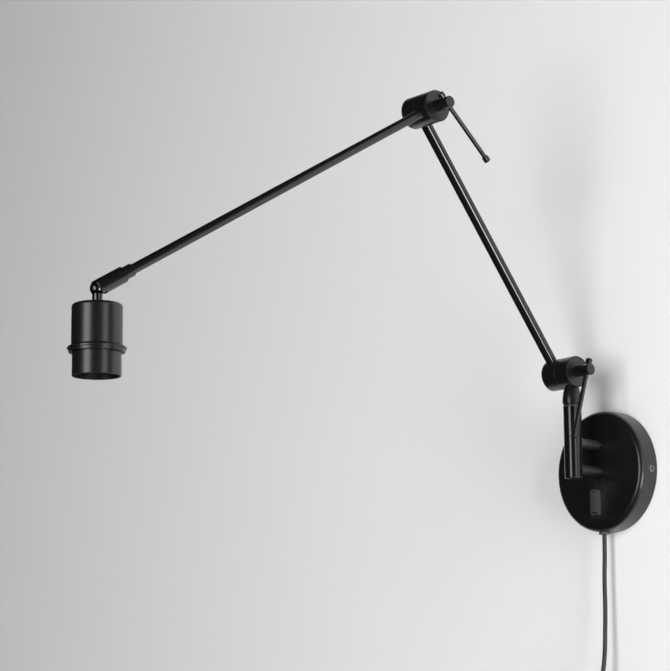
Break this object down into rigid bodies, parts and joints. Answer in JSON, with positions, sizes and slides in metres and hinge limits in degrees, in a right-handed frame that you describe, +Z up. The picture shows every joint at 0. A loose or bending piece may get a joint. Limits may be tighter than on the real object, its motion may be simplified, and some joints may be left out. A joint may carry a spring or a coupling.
{
  "type": "articulating wall lamp",
  "caption": "Wall lamp with a round canopy, a swivelling post, a jointed arm with clamp levers, a ball joint and a bare screw lampholder with shade ring.",
  "frame": {"origin": "centre of the round canopy's back, on the wall plane", "axes": "+Z up along the wall, +Y into the wall, lamp reaching out along -Y, +X to the right seen from the room"},
  "size_m": [0.12, 0.6333, 0.6929],
  "materials": {
    "black_steel": "satin black powder coat on steel",
    "dark_steel": "dark plated steel",
    "black_fittings": "satin black, turned steel",
    "plain_steel": "zinc plated",
    "bush_nylon": "black nylon",
    "black_plastic": "satin moulded plastic",
    "ivory_plastic": "ivory moulded plastic",
    "holder_core": "black moulded insulator",
    "brass": "nickel-free pressed brass",
    "cord_cover": "satin black flexible cover",
    "lead_cover": "black flexible cover"
  },
  "bodies": {
    "root": {"wall_plate": "plain_steel", "canopy_cover": "black_steel", "canopy_grub_screws": "dark_steel", "terminal_block": "ivory_plastic", "switch_housing": "black_plastic", "cord_gland": "black_plastic", "gland_nut": "plain_steel", "power_cord": "cord_cover", "cord_coil": "cord_cover", "cord_tie": "bush_nylon", "plug_body": "black_plastic", "plug_pins": "brass", "upper_standoff": "dark_steel", "lower_standoff": "dark_steel", "standoff_screw": "plain_steel", "wire_nipple": "plain_steel", "nipple_nut": "plain_steel", "post_tube": "black_steel", "post_end_cap": "black_steel", "swivel_bush": "bush_nylon", "post_lead": "lead_cover"},
    "rocker": {"switch_rocker": "black_plastic"},
    "swivel": {"swivel_washer": "black_fittings", "swivel_adapter": "black_steel", "swivel_nut": "plain_steel", "lower_knuckle_base_half": "black_steel", "lower_friction_washer": "dark_steel"},
    "lower_clamp": {"lower_clamp_bolt": "black_fittings"},
    "lower_bar": {"lower_tommy_bar": "black_fittings", "lower_bar_caps": "black_fittings"},
    "lower_arm": {"lower_knuckle_arm_half": "black_steel", "lower_clamp_nut": "plain_steel", "lower_arm_tube": "black_steel", "lower_arm_lead": "lead_cover", "elbow_lower_half": "black_steel", "elbow_clamp_nut": "plain_steel", "elbow_friction_washer": "dark_steel"},
    "upper_arm": {"elbow_upper_half": "black_steel", "upper_arm_tube": "black_steel", "upper_arm_lead": "lead_cover", "arm_reducer": "black_steel"},
    "elbow_clamp": {"elbow_clamp_bolt": "black_fittings"},
    "elbow_bar": {"elbow_tommy_bar": "black_fittings", "elbow_bar_caps": "black_fittings"},
    "socket": {"ball_socket_sleeve": "black_steel"},
    "stud": {"ball_stud": "black_steel", "stud_nut": "plain_steel"},
    "lampholder": {"lampholder_cup": "black_steel", "holder_core": "holder_core", "thread_shell": "brass", "centre_contact": "brass", "holder_collar": "black_steel"},
    "ring": {"shade_ring": "black_steel"}
  },
  "joints": [
    {"name": "switch_rock", "type": "hinge", "parent": "root", "child": "rocker", "pos_m": [-0.002, -0.0205, -0.031], "axis": [1, 0, 0], "range_deg": [0, 9]},
    {"name": "base_swivel", "type": "hinge", "parent": "root", "child": "swivel", "pos_m": [0, -0.0545, 0.063], "axis": [0, 0, 1], "range_deg": [-90, 90]},
    {"name": "lower_tilt", "type": "hinge", "parent": "swivel", "child": "lower_arm", "pos_m": [0, -0.0545, 0.0962], "axis": [1, 0, 0], "range_deg": [-40, 45]},
    {"name": "lower_clamp_turn", "type": "hinge", "parent": "swivel", "child": "lower_clamp", "pos_m": [0.022, -0.0545, 0.0962], "axis": [1, 0, 0], "range_deg": [-73, 40]},
    {"name": "lower_bar_slide", "type": "slide", "parent": "lower_clamp", "child": "lower_bar", "axis": [0, 0.289, 0.9573], "range_m": [0, 0.06]},
    {"name": "elbow_tilt", "type": "hinge", "parent": "lower_arm", "child": "upper_arm", "pos_m": [0, -0.2321, 0.33798], "axis": [1, 0, 0], "range_deg": [-69, 50]},
    {"name": "elbow_clamp_turn", "type": "hinge", "parent": "upper_arm", "child": "elbow_clamp", "pos_m": [0.022, -0.2321, 0.33798], "axis": [1, 0, 0], "range_deg": [-90, 90]},
    {"name": "elbow_bar_slide", "type": "slide", "parent": "elbow_clamp", "child": "elbow_bar", "axis": [0, -0.7169, 0.6972], "range_m": [0, 0.06]},
    {"name": "head_spin", "type": "hinge", "parent": "upper_arm", "child": "socket", "pos_m": [0, -0.60816, 0.11735], "axis": [0, -0.8625, -0.506], "range_deg": [-170, 170]},
    {"name": "head_tilt", "type": "hinge", "parent": "socket", "child": "stud", "pos_m": [0, -0.60816, 0.11735], "axis": [1, 0, 0], "range_deg": [-59, 30]},
    {"name": "head_twist", "type": "hinge", "parent": "stud", "child": "lampholder", "pos_m": [0, -0.60816, 0.10405], "axis": [0, 0, 1], "range_deg": [-170, 170]},
    {"name": "ring_slide", "type": "slide", "parent": "lampholder", "child": "ring", "axis": [0, 0, -1], "range_m": [0, 0.017]}
  ]
}
